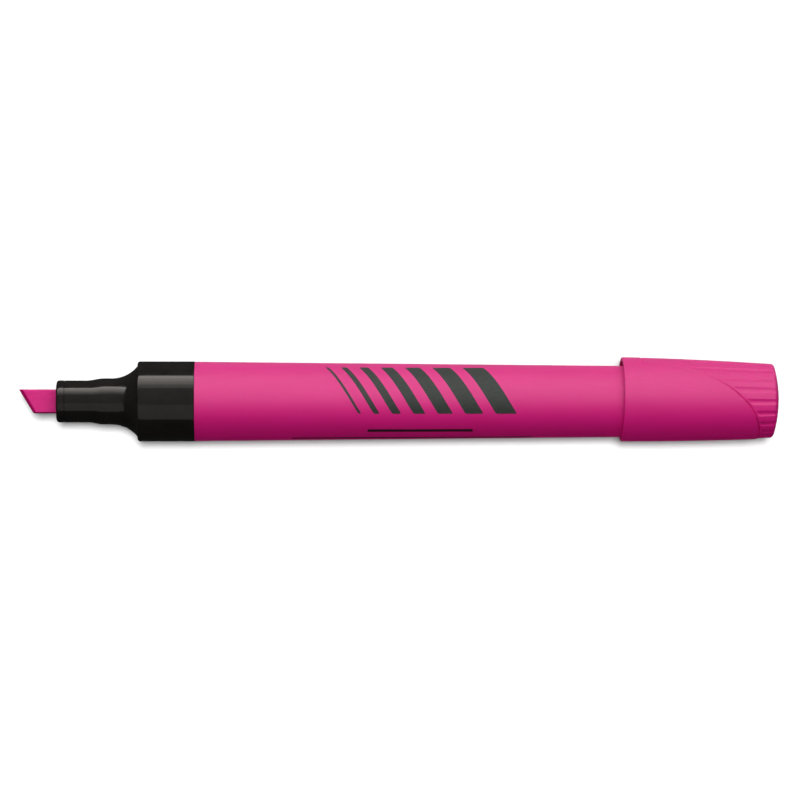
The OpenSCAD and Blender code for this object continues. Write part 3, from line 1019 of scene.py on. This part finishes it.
def make_stage():
    """A wide pale floor, with a plain pale wall far behind it on every side."""
    flat = [(r, 0) for r in (*FLOOR_RINGS, STAGE_REACH)]
    floor = stage_piece("floor", flat, pale_floor(), first_pole=Vector())
    tent = [(STAGE_REACH, 0), (STAGE_REACH, WALL_HEIGHT / 2), (STAGE_REACH * 0.8, WALL_HEIGHT)]
    wall = stage_piece("backdrop", tent, pale_backdrop(),
                       last_pole=Vector((0, 0, WALL_HEIGHT * 1.1)))
    wall.visible_shadow = False
    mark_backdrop(floor, wall)
    return floor


def from_zenith(degrees):
    """The direction that leans from straight up towards +Y."""
    a = math.radians(degrees)
    return Vector((0, math.sin(a), math.cos(a)))


def add_light(name, data, way, distance, receivers):
    """Places a light that faces the pen and lights only the pieces in a collection."""
    lamp = bpy.data.objects.new(name, data)
    lamp.location = AXIS + way * distance
    across = Vector((1, 0, 0))
    lamp.rotation_euler = Matrix((across, way.cross(across), way)).transposed().to_euler()
    lamp.visible_camera = False
    lamp.light_linking.receiver_collection = receivers
    bpy.context.scene.collection.objects.link(lamp)
    return lamp


def soft_light(name, long, tall, radiance, way, receivers, seen):
    """A rectangle of light of an even radiance, which faces the pen.

    It is seen by diffuse light, by glossy reflections, or by both. One that isn't seen by both
    goes without multiple importance sampling, because that lets in light that it should hide."""
    data = bpy.data.lights.new(name, "AREA")
    data.shape = "RECTANGLE"
    data.size, data.size_y = long, tall
    data.energy = radiance * math.pi * long * tall
    lamp = add_light(name, data, way, PANEL_DISTANCE, receivers)
    data.cycles.use_multiple_importance_sampling = seen == "both"
    lamp.visible_glossy = seen != "diffuse"
    lamp.visible_diffuse = seen != "glossy"
    return lamp


def panel(name, low, high, radiance, receivers, seen="both", colour=(1, 1, 1)):
    """A long soft panel along the pen, between two angles."""
    tall = 2 * PANEL_DISTANCE * math.tan(math.radians((high - low) / 2))
    way = from_zenith((low + high) / 2)
    lamp = soft_light(name, PANEL_LENGTH, tall, radiance, way, receivers, seen)
    lamp.data.color = colour


def card(name, low, high, radiance, receivers, seen):
    """A soft light lying on the floor and facing up, between two distances in millimetres from
    the pen's axis towards +Y."""
    lamp = soft_light(name, CARD_LENGTH, (high - low) * MM, radiance, UP, receivers, seen)
    lamp.location = (0, AXIS.y + (low + high) / 2 * MM, CARD_HEIGHT)
    lamp.rotation_euler = (math.pi, 0, 0)


def gather(name, pieces):
    """A collection of the pieces that some lights are kept to."""
    group = bpy.data.collections.new(name)
    for piece in pieces:
        group.objects.link(piece)
    return group


def light_satin(satin):
    """Lights for the satin pieces. The floor sends them no light, and cards beside the pen stand
    in for its glow."""
    panel("satin_top", 0, 30, 2.01, satin, "diffuse")
    panel("satin_key", 30, 60, 2.87, satin, "diffuse")
    panel("satin_fill", -50, -30, 0.96, satin, "diffuse")
    panel("satin_sheen_top", 0, 30, 1.59, satin, "glossy")
    panel("satin_sheen_key", 30, 60, 1.28, satin, "glossy")
    panel("satin_sheen_low", 60, 89, 1.65, satin, "glossy")
    card("satin_glow_far", 8, 208, 0.95, satin, "diffuse")
    card("satin_glow_near", -208, -9, 0.60, satin, "diffuse")
    card("satin_sheen_far", 8, 48, 0.48, satin, "glossy")


def light_gloss(gloss):
    """Lights for the glossy nose, which mirrors them: two dim ones above it, and a key that
    brightens in steps towards the floor at +Y."""
    for name, low, high, radiance in (("gloss_far", -53, -9, 0.37), ("gloss_top", -8, 39, 0.18),
                                      ("gloss_key_1", 39.3, 50, 0.9), ("gloss_key_2", 50, 60, 1.9),
                                      ("gloss_key_3", 60, 70, 2.8), ("gloss_key_4", 70, 79.3, 3.8)):
        panel(name, low, high, radiance, gloss, colour=WARM)


def light_floor(floor):
    """One high soft light whitens the floor and gives the pen its close shadow."""
    data = bpy.data.lights.new("floor_light", "SUN")
    data.angle, data.energy = math.radians(SUN_SPREAD), SUN_STRENGTH
    add_light("floor_light", data, from_zenith(SUN_TILT), SUN_DISTANCE,
              gather("lit_floor", [floor]))


def make_world():
    """A faint even glow from all round."""
    world = bpy.data.worlds.new("studio")
    world.use_nodes = True
    glow = world.node_tree.nodes["Background"].inputs
    glow["Color"].default_value = WHITE
    glow["Strength"].default_value = WORLD_GLOW
    bpy.context.scene.world = world


def make_camera():
    """Straight above, a little to the nib's side of the middle, aimed at the pen's middle."""
    aim = AXIS + CAMERA_AIM
    data = bpy.data.cameras.new("camera")
    data.sensor_width = SENSOR_WIDTH
    data.lens = SENSOR_WIDTH * CAMERA_HEIGHT / VIEW_WIDTH
    data.clip_start = 0.01
    camera = bpy.data.objects.new("camera", data)
    camera.location = aim + Vector((CAMERA_ASIDE, 0, CAMERA_HEIGHT))
    back = (camera.location - aim).normalized()
    right = Vector((0, 1, 0)).cross(back).normalized()
    camera.rotation_euler = Matrix((right, back.cross(right), back)).transposed().to_euler()
    bpy.context.scene.collection.objects.link(camera)
    bpy.context.scene.camera = camera


stage_floor = make_stage()
make_world()
gloss_pieces = gather("lit_gloss", [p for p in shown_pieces() if p.name == "nose_body"])
satin_pieces = gather("lit_satin", [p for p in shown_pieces() if p.name != "nose_body"])
light_satin(satin_pieces)
light_gloss(gloss_pieces)
light_floor(stage_floor)
make_camera()
bpy.context.scene.view_settings.view_transform = "Standard"
